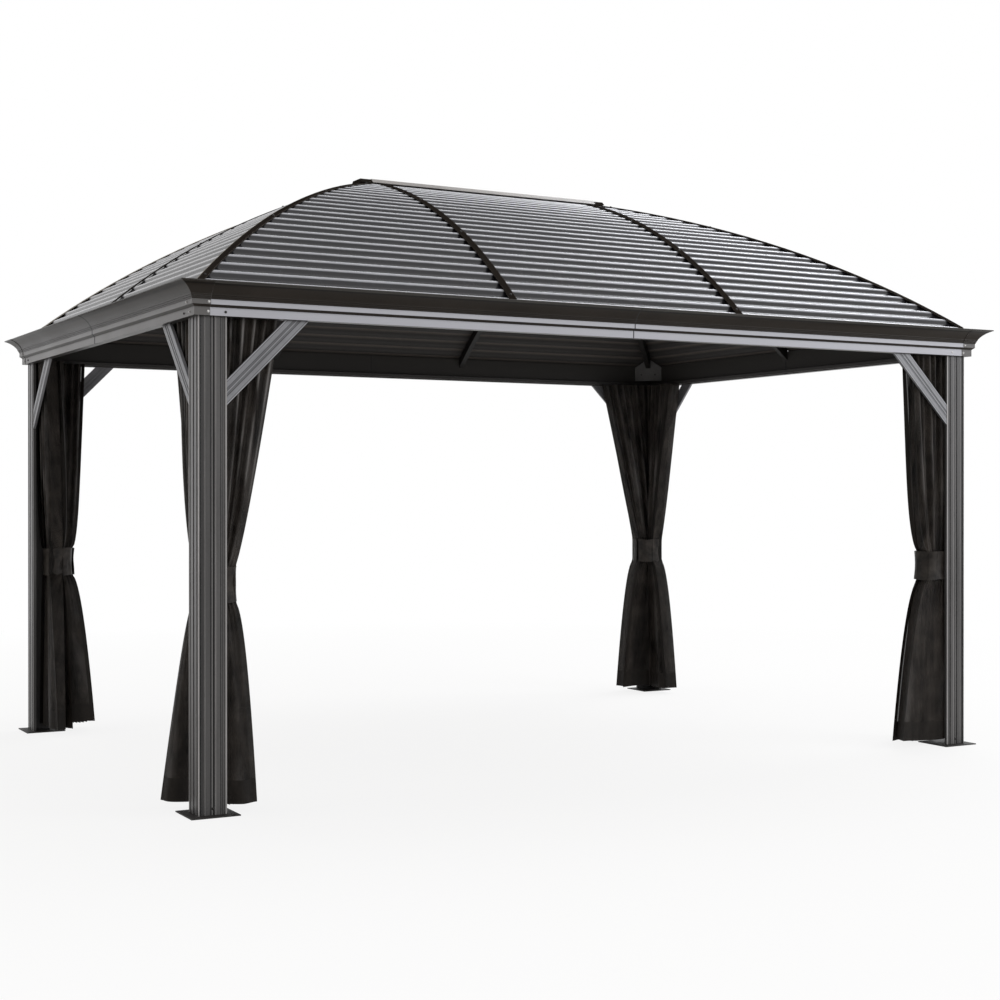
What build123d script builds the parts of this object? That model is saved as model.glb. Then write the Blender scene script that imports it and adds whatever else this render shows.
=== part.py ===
"""Hardtop garden gazebo: four fluted L posts, a cornice eave, a bowed hip roof of corrugated sheet.

Units are millimetres. +X runs along the long side, +Z is up, and the origin lies on the ground at
the middle of the plan. The front-left quarter is drawn and mirrored to the other three.
"""

import os
from math import acos, degrees, radians, sqrt, tan

from build123d import *

# Plan and heights
post_span_x = 4063.0
post_span_y = 2844.0
eave_height = 1978.0

# Corner posts, L-shaped fluted extrusions
post_leg = 118.0
post_wall = 16.0
post_corner_radius = 3.0
flute_width = 15.0
flute_depth = 2.5
flute_place_shares = (0.15, 0.51, 0.86)

# Base plates
plate_side = 203.0
plate_thickness = 5.0
plate_margin = 42.0
anchor_hole_radius = 5.5
anchor_inset = 21.0

# Knee braces, flat fluted bars at 45 degrees
brace_reach = 300.0
brace_width = 71.0
brace_thickness = 13.0
brace_groove_width = 9.0
brace_groove_depth = 1.5
brace_groove_pitch = 16.0

# Cornice eave beam: heights above its underside, distances out from the post faces
beam_wall = 3.0
band_out = 23.0
band_height = 33.0
step_depth = 12.0
step_rise = 10.0
cove_rise = 20.0
cove_radius = 65.0
splice_gap = 2.0

# Corner caps over the cornice, splice plates and corner brackets
cap_wall = 2.0
cap_fit = 0.3
corner_cap_inset = 40.0
splice_length = 260.0
splice_height = 56.0
splice_thickness = 3.0
bracket_width = 165.0
bracket_thickness = 4.0
bracket_rise = 40.0

# Curtain rails
rail_width = 14.0
rail_height = 18.0
rail_rise = 6.0

# Roof line along the top of the rafters, bowed upwards between foot and ridge
foot_above_lip = 3.0
roof_rise = 729.0
roof_bow = 97.5

# Rafters, ridge beam and hubs
rafter_width = 30.0
rafter_depth = 40.0
hub_width = 90.0
ridge_beam_width = 60.0

# Corrugated roof sheet
sheet_thickness = 1.0
sheet_eave_out = 7.0
sheet_ridge_gap = 22.0
sheet_edge_gap = 5.0
corrugation_pitch = 65.5
corrugation_height = 14.0
crest_width = 19.0

# Covers over the rafters, and the ridge cap with a plug in each end
cover_width = 36.0
cover_thickness = 4.0
cover_eave_inset = 100.0
hip_cover_eave_inset = 105.0
cover_hub_distance = 58.0
ridge_cap_width = 136.0
ridge_cap_top_width = 96.0
ridge_cap_overhang = 50.0
ridge_cap_height = 20.0
ridge_cap_wall = 2.0
ridge_plug_out = 60.0
ridge_plug_grip = 10.0

# Gathered curtains, two panels hung inside each post and tied together at waist height
curtain_clear = 6.0
curtain_depth = 100.0
curtain_hem_height = 25.0
curtain_top_reach_x = 335.0
curtain_top_reach_y = 265.0
curtain_hip_reach_x = 258.0
curtain_hip_reach_y = 190.0
curtain_tie_reach = 150.0
curtain_hem_reach_x = 262.0
curtain_hem_reach_y = 335.0
hip_height_share = 0.35
tie_height_share = 0.425
tie_width = 145.0
tie_wall = 3.0

# Room left between pieces that lie on each other
seat = 0.3

# Worked out from the sizes above
half_x = post_span_x / 2
half_y = post_span_y / 2
step_out = band_out + step_depth
step_height = band_height + step_rise
cove_height = step_height + cove_rise
lip_out = step_out + cove_radius
lip_height = cove_height + cove_radius + beam_wall
lip_reach = lip_out + cap_wall
ridge_half = half_x - half_y
web_face = half_y - post_wall
post_edge_x = half_x - post_leg
post_edge_y = half_y - post_leg

# The roof line is a circular arc in (q, z), where q is the distance out from the ridge
rafter_foot_height = eave_height + lip_height + foot_above_lip
ridge_line_height = rafter_foot_height + roof_rise
foot_to_ridge = web_face
chord = sqrt(foot_to_ridge**2 + roof_rise**2)
roof_radius = chord**2 / (8 * roof_bow) + roof_bow / 2
centre_drop = roof_radius - roof_bow
centre_q = foot_to_ridge / 2 - centre_drop * roof_rise / chord
centre_z = (rafter_foot_height + ridge_line_height) / 2 - centre_drop * foot_to_ridge / chord


def line_height(q, raised=0.0):
    """Height of the roof line, raised square to itself, at distance q out from the ridge."""
    return centre_z + sqrt((roof_radius + raised) ** 2 - (q - centre_q) ** 2)


def line_angle(q):
    """Angle on the roof arc, in radians from level, at distance q out from the ridge."""
    return acos((q - centre_q) / roof_radius)


def line_peak(near, far, raised):
    """Greatest height of the raised roof line between two distances out from the ridge."""
    return line_height(min(max(centre_q, near), far), raised)


crest_top = seat + corrugation_height + sheet_thickness
cover_seat = crest_top + seat
cover_top = cover_seat + cover_thickness
eave_slope = tan(radians(90) - line_angle(web_face))
hip_drop = rafter_width / 2 / sqrt(2) * eave_slope + seat
web_top = line_height(web_face + beam_wall) - seat
ridge_plug_near = ridge_cap_overhang - ridge_plug_grip
ridge_plug_far = ridge_cap_overhang + ridge_plug_out
covers_peak = line_peak(cover_hub_distance, ridge_plug_far, cover_top)
crests_peak = line_peak(ridge_plug_near, ridge_plug_far, crest_top)
ridge_cap_bottom = max(covers_peak, crests_peak) + seat
ridge_cap_top = ridge_cap_bottom + ridge_cap_height

# Drawing planes: local x points outwards from the ridge, local y points up
front_plane = Plane(origin=(0, 0, 0), x_dir=(0, -1, 0), z_dir=(-1, 0, 0))
left_plane = Plane(origin=(0, 0, 0), x_dir=(-1, 0, 0), z_dir=(0, 1, 0))
hub_point = (-ridge_half, 0, 0)
common_plane = Plane(origin=hub_point, x_dir=(0, -1, 0), z_dir=(-1, 0, 0))
end_plane = Plane(origin=hub_point, x_dir=(-1, 0, 0), z_dir=(0, 1, 0))
hip_plane = Plane(origin=hub_point, x_dir=(-1, -1, 0), z_dir=(-1, 1, 0))
mitre_plane = Plane(origin=(-half_x, -half_y, 0), x_dir=(1, 1, 0), z_dir=(1, -1, 0))

corners = {
    "front_left": (),
    "front_right": (Plane.YZ,),
    "back_left": (Plane.XZ,),
    "back_right": (Plane.YZ, Plane.XZ),
}

os.makedirs("parts", exist_ok=True)


def write(piece, name):
    """Label a finished piece and write it to its own file."""
    piece.part.label = name
    export_step(piece.part, f"parts/{name}.step")


def write_reflected(piece, name, planes):
    """Write the piece's reflection in each of the planes in turn."""
    with BuildPart() as reflected:
        add(piece.part)
        for plane in planes:
            mirror(about=plane, mode=Mode.REPLACE)
    write(reflected, name)


def write_at_corners(piece, name):
    """Write the front-left piece and its three reflections as four nodes."""
    for corner, planes in corners.items():
        write_reflected(piece, f"{name}_{corner}", planes)


# Corner post: an L of two hollow legs drawn as one closed section, with shallow flutes outside
with BuildPart() as corner_post:
    with BuildSketch(Plane.XY.offset(plate_thickness)):
        with BuildLine():
            Polyline(
                (-half_x, -half_y),
                (-half_x + post_leg, -half_y),
                (-half_x + post_leg, -half_y + post_wall),
                (-half_x + post_wall, -half_y + post_wall),
                (-half_x + post_wall, -half_y + post_leg),
                (-half_x, -half_y + post_leg),
                close=True,
            )
        outline = make_face()
        fillet(outline.vertices().sort_by_distance((-half_x, -half_y))[0], post_corner_radius)
        for share in flute_place_shares:
            with Locations((-half_x + share * post_leg, -half_y)):
                Rectangle(flute_width, 2 * flute_depth, mode=Mode.SUBTRACT)
            with Locations((-half_x, -half_y + share * post_leg)):
                Rectangle(2 * flute_depth, flute_width, mode=Mode.SUBTRACT)
    extrude(amount=eave_height - plate_thickness)
write_at_corners(corner_post, "corner_post")

# Base plates under the posts, each with two anchor holes outside the post and its curtain
plate_middle = plate_side / 2 - plate_margin
anchor_near = plate_margin - anchor_inset
anchor_far = plate_side - plate_margin - anchor_inset
with BuildPart() as base_plates:
    with BuildSketch():
        with Locations((-half_x + plate_middle, -half_y + plate_middle)):
            Rectangle(plate_side, plate_side)
        with Locations(
            (-half_x + anchor_far, -half_y - anchor_near),
            (-half_x - anchor_near, -half_y + anchor_far),
        ):
            Circle(anchor_hole_radius, mode=Mode.SUBTRACT)
    extrude(amount=plate_thickness)
    mirror(about=Plane.YZ)
    mirror(about=Plane.XZ)
write(base_plates, "base_plates")


def brace_section(plane):
    """Section of a knee brace: a flat bar with two grooves on each broad face."""
    with BuildSketch(plane) as section:
        Rectangle(brace_thickness, brace_width)
        with GridLocations(brace_thickness, brace_groove_pitch, 2, 2):
            Rectangle(2 * brace_groove_depth, brace_groove_width, mode=Mode.SUBTRACT)
    return section.sketch


# Knee braces: one in line with each beam, cut level under the beam and plumb against the post
brace_front_plane = Plane(
    origin=(-post_edge_x + brace_reach / 2, -half_y + post_wall / 2, eave_height - brace_reach / 2),
    x_dir=(0, 1, 0),
    z_dir=(1, 0, 1),
)
brace_side_plane = Plane(
    origin=(-half_x + post_wall / 2, -post_edge_y + brace_reach / 2, eave_height - brace_reach / 2),
    x_dir=(1, 0, 0),
    z_dir=(0, 1, 1),
)
under_beam = Plane.XY.offset(eave_height)
with BuildPart() as front_brace:
    extrude(brace_section(brace_front_plane), amount=brace_reach, both=True)
    split(bisect_by=under_beam, keep=Keep.BOTTOM)
    split(bisect_by=Plane.YZ.offset(-post_edge_x), keep=Keep.TOP)
with BuildPart() as side_brace:
    extrude(brace_section(brace_side_plane), amount=brace_reach, both=True)
    split(bisect_by=under_beam, keep=Keep.BOTTOM)
    split(bisect_by=Plane.XZ.offset(post_edge_y), keep=Keep.BOTTOM)
with BuildPart() as knee_braces:
    add(front_brace.part)
    add(side_brace.part)
write_at_corners(knee_braces, "knee_braces")


def cornice_outside(face, out):
    """Lines of the cornice's outside, a distance out from its own faces, from underside to lip."""
    bottom = eave_height
    Polyline(
        (face + band_out + out, bottom),
        (face + band_out + out, bottom + band_height),
        (face + step_out + out, bottom + step_height),
        (face + step_out + out, bottom + cove_height),
    )
    CenterArc((face + lip_out, bottom + cove_height), cove_radius - out, 90, 90)


def beam_section(plane, face):
    """Open gutter section: cornice skin outside, flat underside and a plumb web inside."""
    bottom = eave_height
    inner = face - post_wall
    skin_top = bottom + lip_height
    with BuildSketch(plane) as section:
        with BuildLine():
            cornice_outside(face, 0)
            Line((face + lip_out, skin_top - beam_wall), (face + lip_out, skin_top))
            cove_inside = CenterArc(
                (face + lip_out, bottom + cove_height), cove_radius + beam_wall, 90, 90
            )
            Polyline(
                cove_inside @ 1,
                (face + step_out - beam_wall, bottom + step_height),
                (face + band_out - beam_wall, bottom + band_height),
                (face + band_out - beam_wall, bottom + beam_wall),
                (inner + beam_wall, bottom + beam_wall),
                (inner + beam_wall, web_top),
                (inner, web_top),
                (inner, bottom),
                (face + band_out, bottom),
            )
        make_face()
    return section.sketch


# Eave beams: each side is two lengths that butt at mid-side and are mitred at the corners
with BuildPart() as front_half_beam:
    extrude(beam_section(front_plane.offset(splice_gap / 2), half_y), amount=half_x + lip_out)
    split(bisect_by=mitre_plane, keep=Keep.TOP)
with BuildPart() as left_half_beam:
    extrude(beam_section(left_plane.offset(-splice_gap / 2), half_x), amount=-half_y - lip_out)
    split(bisect_by=mitre_plane, keep=Keep.BOTTOM)
with BuildPart() as eave_beam_front:
    add(front_half_beam.part)
    mirror(about=Plane.YZ)
with BuildPart() as eave_beam_left:
    add(left_half_beam.part)
    mirror(about=Plane.XZ)
write(eave_beam_front, "eave_beam_front")
write_reflected(eave_beam_front, "eave_beam_back", (Plane.XZ,))
write(eave_beam_left, "eave_beam_left")
write_reflected(eave_beam_left, "eave_beam_right", (Plane.YZ,))

# Corner caps: a thin skin of the cornice's shape, folded round each corner and over the lip
with BuildPart() as corner_caps:
    with BuildSketch(front_plane.offset(half_x - corner_cap_inset)):
        with BuildLine():
            cornice_outside(half_y, cap_wall)
            cornice_outside(half_y, cap_fit)
            Line(
                (half_y + band_out + cap_fit, eave_height),
                (half_y + band_out + cap_wall, eave_height),
            )
            skin_top = eave_height + lip_height
            Polyline(
                (half_y + lip_out, skin_top - beam_wall - cap_wall),
                (half_y + lip_reach, skin_top - beam_wall - cap_wall),
                (half_y + lip_reach, skin_top),
                (half_y + lip_out + cap_fit, skin_top),
                (half_y + lip_out + cap_fit, skin_top - beam_wall - cap_fit),
                (half_y + lip_out, skin_top - beam_wall - cap_fit),
            )
        make_face()
    extrude(amount=corner_cap_inset + lip_reach)
    split(bisect_by=mitre_plane, keep=Keep.TOP)
    mirror(about=mitre_plane)
    mirror(about=Plane.YZ)
    mirror(about=Plane.XZ)
write(corner_caps, "corner_caps")

# Splice plates in the gutter, across each butt joint, against the webs
with BuildPart() as splice_plates:
    with BuildSketch(Plane.XY.offset(eave_height + beam_wall)):
        with Locations((0, -web_face - beam_wall - splice_thickness / 2)):
            Rectangle(splice_length, splice_thickness)
        with Locations((-half_x + post_wall - beam_wall - splice_thickness / 2, 0)):
            Rectangle(splice_thickness, splice_length)
    extrude(amount=splice_height)
    mirror(about=Plane.YZ)
    mirror(about=Plane.XZ)
write(splice_plates, "splice_plates")

# Corner brackets: gabled plates set at 45 degrees between the webs, which carry the hip rafters
bracket_near = bracket_width / sqrt(2)
bracket_far = bracket_near + bracket_thickness * sqrt(2)
inner_corner_x = -half_x + post_wall
inner_corner_y = -half_y + post_wall
bracket_plane = Plane(
    origin=(inner_corner_x + bracket_near / 2, inner_corner_y + bracket_near / 2, 0),
    x_dir=(-1, 1, 0),
    z_dir=(1, 1, 0),
)
bracket_end = bracket_width / 2 + bracket_thickness
bracket_bottom = eave_height + bracket_rise
bracket_shoulder = web_top - bracket_thickness
bracket_peak = line_height(web_face - bracket_near / 2) - seat
with BuildPart() as corner_brackets:
    with BuildSketch(bracket_plane):
        with BuildLine():
            Polyline(
                (-bracket_end, bracket_bottom),
                (bracket_end, bracket_bottom),
                (bracket_end, bracket_shoulder),
                (0, bracket_peak),
                (-bracket_end, bracket_shoulder),
                close=True,
            )
        make_face()
    extrude(amount=bracket_thickness)
    split(bisect_by=Plane.XZ.offset(web_face), keep=Keep.BOTTOM)
    split(bisect_by=Plane.YZ.offset(inner_corner_x), keep=Keep.TOP)
    mirror(about=Plane.YZ)
    mirror(about=Plane.XZ)
write(corner_brackets, "corner_brackets")

# Curtain rails along the foot of each web; the short ones butt against the long ones
long_rail = 2 * (half_x - post_wall)
short_rail = 2 * (web_face - rail_width)
with BuildPart() as curtain_rails:
    with BuildSketch(Plane.XY.offset(eave_height + rail_rise)):
        with Locations((0, -web_face + rail_width / 2)):
            Rectangle(long_rail, rail_width)
        with Locations((0, web_face - rail_width / 2)):
            Rectangle(long_rail, rail_width)
    extrude(amount=rail_height)
with BuildPart() as short_rails:
    with BuildSketch(Plane.XY.offset(eave_height + rail_rise)):
        with Locations((inner_corner_x + rail_width / 2, 0), (-inner_corner_x - rail_width / 2, 0)):
            Rectangle(rail_width, short_rail)
    extrude(amount=rail_height)
write(curtain_rails, "long_curtain_rails")
write(short_rails, "short_curtain_rails")


def roof_arc(stretch, raised):
    """Roof line raised square to itself, longer than any rafter.

    A hip's line has the same heights as the slopes beside it, stretched along the diagonal.
    """
    first = degrees(line_angle(half_y + lip_reach))
    sweep = degrees(line_angle(-hub_width)) - first
    middle = (stretch * centre_q, centre_z)
    radius = roof_radius + raised
    if stretch == 1:
        return CenterArc(middle, radius, first, sweep)
    return EllipticalCenterArc(middle, stretch * radius, radius, first, arc_size=sweep)


def roof_band(plane, stretch, low, high, width):
    """Strip that follows the roof line between two raised heights."""
    with BuildSketch(plane) as strip:
        with BuildLine():
            upper = roof_arc(stretch, high)
            lower = roof_arc(stretch, low)
            Line(upper @ 0, lower @ 0)
            Line(upper @ 1, lower @ 1)
        make_face()
    extrude(strip.sketch, amount=width / 2, both=True)


def cut_to_length(plane, hub_end, eave_end):
    """Cut a strip plumb at its hub end and at its eave end."""
    outwards = plane.x_dir
    split(bisect_by=Plane(plane.origin + outwards * hub_end, z_dir=outwards), keep=Keep.TOP)
    split(bisect_by=Plane(plane.origin + outwards * eave_end, z_dir=outwards), keep=Keep.BOTTOM)


def rafter(plane, stretch, drop, eave_end):
    """Curved rafter bar, cut plumb at the hub and at the eave."""
    roof_band(plane, stretch, -drop - rafter_depth, -drop, rafter_width)
    cut_to_length(plane, hub_width / 2, eave_end)


def cover_strip(plane, eave_end):
    """Flat strip over a rafter, lying on the crests of the sheets."""
    roof_band(plane, 1, cover_seat, cover_top, cover_width)
    cut_to_length(plane, cover_hub_distance, eave_end)


hip_stretch = sqrt(2)
hip_foot = hip_stretch * web_face - bracket_far / sqrt(2)

# Rafters: one down each hip, one square from each ridge end to the long sides and one to the ends
with BuildPart() as hip_rafters:
    rafter(hip_plane, hip_stretch, hip_drop, hip_foot)
    mirror(about=Plane.YZ)
    mirror(about=Plane.XZ)
write(hip_rafters, "hip_rafters")
with BuildPart() as common_rafters:
    rafter(common_plane, 1, 0, web_face)
    mirror(about=Plane.YZ)
    mirror(about=Plane.XZ)
write(common_rafters, "common_rafters")
with BuildPart() as end_rafters:
    rafter(end_plane, 1, 0, web_face)
    mirror(about=Plane.YZ)
write(end_rafters, "end_rafters")

# Ridge hubs: eight-sided blocks that the rafters and the ridge beam butt against
hub_top = line_height(hub_width / 2)
hub_bottom = hub_top - rafter_depth - hip_drop
with BuildPart() as ridge_hubs:
    with BuildSketch(Plane.XY.offset(hub_bottom)):
        with Locations((-ridge_half, 0), (ridge_half, 0)):
            RegularPolygon(hub_width / 2, 8, major_radius=False, rotation=22.5)
    extrude(amount=hub_top - hub_bottom)
write(ridge_hubs, "ridge_hubs")

# Ridge beam between the hubs
ridge_beam_top = line_height(ridge_beam_width / 2)
with BuildPart() as ridge_beam:
    with BuildSketch(Plane.YZ):
        with Locations((0, ridge_beam_top - rafter_depth / 2)):
            Rectangle(ridge_beam_width, rafter_depth)
    extrude(amount=ridge_half - hub_width / 2, both=True)
write(ridge_beam, "ridge_beam")

# Cover strips over the rafters; a hip's is folded along the hip and lies on both slopes
hip_cover_start = hip_stretch * cover_hub_distance
hip_cover_end = hip_stretch * (half_y + lip_reach - hip_cover_eave_inset)
with BuildPart() as hip_covers:
    roof_band(common_plane, 1, cover_seat, cover_top, 2 * (half_y + lip_reach))
    split(bisect_by=hip_plane, keep=Keep.BOTTOM)
    split(bisect_by=hip_plane.offset(-cover_width / 2), keep=Keep.TOP)
    mirror(about=hip_plane)
    cut_to_length(hip_plane, hip_cover_start, hip_cover_end)
    mirror(about=Plane.YZ)
    mirror(about=Plane.XZ)
write(hip_covers, "hip_covers")
with BuildPart() as common_covers:
    cover_strip(common_plane, half_y + lip_reach - cover_eave_inset)
    mirror(about=Plane.YZ)
    mirror(about=Plane.XZ)
write(common_covers, "common_covers")
with BuildPart() as end_covers:
    cover_strip(end_plane, half_y + lip_reach - cover_eave_inset)
    mirror(about=Plane.YZ)
write(end_covers, "end_covers")


def cap_section(plane, inset):
    """Trapezoid of the ridge cap's section, moved inwards by an inset."""
    bottom = ridge_cap_bottom
    top = ridge_cap_top - inset
    wide = ridge_cap_width / 2 - inset
    narrow = ridge_cap_top_width / 2 - inset
    with BuildSketch(plane) as section:
        with BuildLine():
            Polyline((-wide, bottom), (wide, bottom), (narrow, top), (-narrow, top), close=True)
        make_face()
    return section.sketch


# Ridge cap: a folded channel over the ridge, and the plugs that close its two ends
ridge_cap_half = ridge_half + ridge_cap_overhang
with BuildPart() as ridge_cap:
    extrude(cap_section(Plane.YZ, 0), amount=ridge_cap_half, both=True)
    extrude(
        cap_section(Plane.YZ, ridge_cap_wall),
        amount=ridge_cap_half,
        both=True,
        mode=Mode.SUBTRACT,
    )
write(ridge_cap, "ridge_cap")
with BuildPart() as ridge_cap_ends:
    plug_end = Plane.YZ.offset(-ridge_half - ridge_plug_far)
    extrude(cap_section(plug_end, ridge_cap_wall + seat), amount=ridge_plug_far - ridge_plug_near)
    mirror(about=Plane.YZ)
write(ridge_cap_ends, "ridge_cap_ends")


def sheet_section(plane, ridge_at):
    """Corrugated sheet in section: flat crests between sloping flanks, carried up the roof line."""
    eave_angle = line_angle(half_y + sheet_eave_out)
    length = roof_radius * (line_angle(sheet_ridge_gap) - eave_angle)
    flank_width = (corrugation_pitch - crest_width) / 2
    waves = int(length // corrugation_pitch)
    along = [0]
    rise = [0]
    for wave in range(waves):
        crest = wave * corrugation_pitch + flank_width
        along += [crest, crest + crest_width, crest + crest_width + flank_width]
        rise += [corrugation_height, corrugation_height, 0]
    along.append(length)
    rise.append(0)
    under = []
    over = []
    for distance, height in zip(along, rise):
        angle = degrees(eave_angle + distance / roof_radius)
        spoke = Vector(1, 0).rotate(Axis.Z, angle)
        middle = Vector(ridge_at + centre_q, centre_z)
        under.append(middle + spoke * (roof_radius + seat + height))
        over.append(middle + spoke * (roof_radius + seat + height + sheet_thickness))
    with BuildSketch(plane) as section:
        with BuildLine():
            Polyline(*under, *reversed(over), close=True)
        make_face()
    return section.sketch


# Roof sheets: three on each long slope and two on each end, which meet over the rafters
hip_front_side = Plane(hip_plane.origin - hip_plane.z_dir * sheet_edge_gap, z_dir=-hip_plane.z_dir)
hip_end_side = Plane(hip_plane.origin + hip_plane.z_dir * sheet_edge_gap, z_dir=hip_plane.z_dir)
with BuildPart() as middle_sheet:
    extrude(sheet_section(front_plane, 0), amount=ridge_half - sheet_edge_gap, both=True)
with BuildPart() as side_sheet:
    side_plane = front_plane.offset(ridge_half + sheet_edge_gap)
    extrude(sheet_section(side_plane, 0), amount=half_y + lip_reach)
    split(bisect_by=hip_front_side, keep=Keep.TOP)
with BuildPart() as end_sheet:
    extrude(
        sheet_section(left_plane.offset(-sheet_edge_gap), ridge_half), amount=-half_y - lip_reach
    )
    split(bisect_by=hip_end_side, keep=Keep.TOP)
write(middle_sheet, "roof_sheet_front_middle")
write_reflected(middle_sheet, "roof_sheet_back_middle", (Plane.XZ,))
write_at_corners(side_sheet, "roof_sheet_long_side")
write_at_corners(end_sheet, "roof_sheet_short_end")


rail_bottom = eave_height + rail_rise
tie_bottom = tie_height_share * eave_height
tie_top = tie_bottom + tie_width
curtain_top = rail_bottom - seat
curtain_hip = tie_top + hip_height_share * (curtain_top - tie_top)
curtain_near = post_wall + curtain_clear


def curtain_panel(plane, inner_edge, hem_reach, hip_reach, top_reach):
    """Side view of a gathered panel: full at the rail, drawn in to the tie, loose at the hem."""
    with BuildSketch(plane) as panel:
        with BuildLine():
            Polyline(
                (curtain_tie_reach, tie_top),
                (curtain_tie_reach, tie_bottom),
                (hem_reach, curtain_hem_height),
                (inner_edge, curtain_hem_height),
                (inner_edge, curtain_top),
                (top_reach, curtain_top),
            )
            ThreePointArc(
                (curtain_tie_reach, tie_top), (hip_reach, curtain_hip), (top_reach, curtain_top)
            )
        make_face()
    return panel.sketch


# Curtains: one gathered panel along each rail, meeting in the corner behind the post
curtain_corner = (-half_x + curtain_near, -half_y + curtain_near, 0)
long_side_plane = Plane(origin=curtain_corner, x_dir=(1, 0, 0), z_dir=(0, -1, 0))
short_side_plane = Plane(origin=curtain_corner, x_dir=(0, 1, 0), z_dir=(1, 0, 0))
with BuildPart() as curtain:
    long_side_panel = curtain_panel(
        long_side_plane, 0, curtain_hem_reach_x, curtain_hip_reach_x, curtain_top_reach_x
    )
    extrude(long_side_panel, amount=-curtain_depth)
    short_side_panel = curtain_panel(
        short_side_plane,
        curtain_depth + seat,
        curtain_hem_reach_y,
        curtain_hip_reach_y,
        curtain_top_reach_y,
    )
    extrude(short_side_panel, amount=curtain_depth)
write_at_corners(curtain, "curtain")

# Curtain ties: a band of the same cloth round the two panels at each corner
tie_middle = curtain_near + curtain_tie_reach / 2
tie_inside = curtain_tie_reach + 2 * seat
tie_outside = tie_inside + 2 * tie_wall
with BuildPart() as curtain_ties:
    with BuildSketch(Plane.XY.offset(tie_bottom)):
        with Locations((-half_x + tie_middle, -half_y + tie_middle)):
            Rectangle(tie_outside, tie_outside)
            Rectangle(tie_inside, tie_inside, mode=Mode.SUBTRACT)
    extrude(amount=tie_width)
    mirror(about=Plane.YZ)
    mirror(about=Plane.XZ)
write(curtain_ties, "curtain_ties")
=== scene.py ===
"""Looks of a hardtop garden gazebo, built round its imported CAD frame. Every length is in metres."""

import bpy
import numpy as np
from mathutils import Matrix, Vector


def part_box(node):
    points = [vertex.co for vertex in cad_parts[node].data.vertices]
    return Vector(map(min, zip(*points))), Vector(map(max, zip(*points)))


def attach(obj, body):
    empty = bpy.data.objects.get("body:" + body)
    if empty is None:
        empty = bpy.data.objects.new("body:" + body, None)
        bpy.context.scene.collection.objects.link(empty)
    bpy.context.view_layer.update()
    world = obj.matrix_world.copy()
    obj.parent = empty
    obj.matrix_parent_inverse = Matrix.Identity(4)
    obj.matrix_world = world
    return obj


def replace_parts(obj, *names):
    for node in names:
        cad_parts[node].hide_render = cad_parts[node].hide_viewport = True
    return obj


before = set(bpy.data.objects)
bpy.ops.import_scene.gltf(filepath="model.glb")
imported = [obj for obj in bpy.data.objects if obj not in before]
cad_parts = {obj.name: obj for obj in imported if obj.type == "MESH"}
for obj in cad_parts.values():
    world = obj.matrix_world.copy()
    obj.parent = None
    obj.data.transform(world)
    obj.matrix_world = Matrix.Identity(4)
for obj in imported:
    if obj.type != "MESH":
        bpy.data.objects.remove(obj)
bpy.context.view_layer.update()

# Base plates: square steel plates, powder coated matt black and welded under each post.
# They lie on the paving, so their upper faces gather dust.


class Socket:
    """An output of a material's nodes: sums on it add Math nodes, and node() adds any other node."""

    def __init__(self, tree, output=None):
        self.tree = tree
        self.output = output

    def node(self, kind, settings, sockets, output=0):
        """Add a node, set its settings, then give each socket a value or a link."""
        made = self.tree.nodes.new(kind)
        for name, value in settings.items():
            setattr(made, name, value)
        for name, value in sockets.items():
            if isinstance(value, Socket):
                self.tree.links.new(value.output, made.inputs[name])
            else:
                made.inputs[name].default_value = value
        return Socket(self.tree, made.outputs[output])

    def sum(self, operation, first, second):
        """One Math node; its answer is kept between 0 and 1 only by kept()."""
        return self.node("ShaderNodeMath", {"operation": operation}, {0: first, 1: second})

    def kept(self):
        """This value, kept between 0 and 1."""
        return self.node("ShaderNodeClamp", {}, {"Value": self})

    def wave(self):
        """Sine of this value."""
        return self.node("ShaderNodeMath", {"operation": "SINE"}, {0: self})

    def size(self):
        """This value without its sign."""
        return self.node("ShaderNodeMath", {"operation": "ABSOLUTE"}, {0: self})

    def ramp(self, stops):
        """A grey level, 0 to 1, read from stops of (value, level) with straight lines between them."""
        made = self.tree.nodes.new("ShaderNodeValToRGB")
        for number, (value, level) in enumerate(stops):
            elements = made.color_ramp.elements
            stop = elements[number] if number < 2 else elements.new(value)
            stop.position = value
            stop.color = (level, level, level, 1)
        self.tree.links.new(self.output, made.inputs[0])
        return Socket(self.tree, made.outputs[0])

    def blend(self, first, second):
        """First colour where this mask is 0, second where it is 1."""
        return self.node(
            "ShaderNodeMix", {"data_type": "RGBA"}, {0: self, 6: first, 7: second}, output=2
        )

    def noise(self, scale, detail=3.0, roughness=0.5):
        """Cloudy noise read at this place, from 0 to 1."""
        sockets = {"Vector": self, "Scale": scale, "Detail": detail, "Roughness": roughness}
        return self.node("ShaderNodeTexNoise", {}, sockets)

    def part(self, letter):
        """One of the X, Y and Z parts of this place."""
        return self.node("ShaderNodeSeparateXYZ", {}, {"Vector": self}, output=letter)

    def stretched(self, x, y, z):
        """This place, scaled along each axis, so that noise read there is drawn out."""
        return self.node("ShaderNodeMapping", {}, {"Vector": self, "Scale": (x, y, z)})

    def __add__(self, other):
        return self.sum("ADD", self, other)

    def __radd__(self, other):
        return self.sum("ADD", other, self)

    def __sub__(self, other):
        return self.sum("SUBTRACT", self, other)

    def __rsub__(self, other):
        return self.sum("SUBTRACT", other, self)

    def __mul__(self, other):
        return self.sum("MULTIPLY", self, other)

    def __lt__(self, other):
        return self.sum("LESS_THAN", self, other)

    def __gt__(self, other):
        return self.sum("GREATER_THAN", self, other)


def new_finish(name, constants):
    """Material with one Principled shader, whose unchanging values go straight onto its sockets."""
    finish = bpy.data.materials.new(name)
    finish.use_nodes = True
    shader = finish.node_tree.nodes["Principled BSDF"]
    for socket, value in constants.items():
        shader.inputs[socket].default_value = value
    place = Socket(finish.node_tree).node("ShaderNodeTexCoord", {}, {}, output="Object")
    return finish, place


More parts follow.
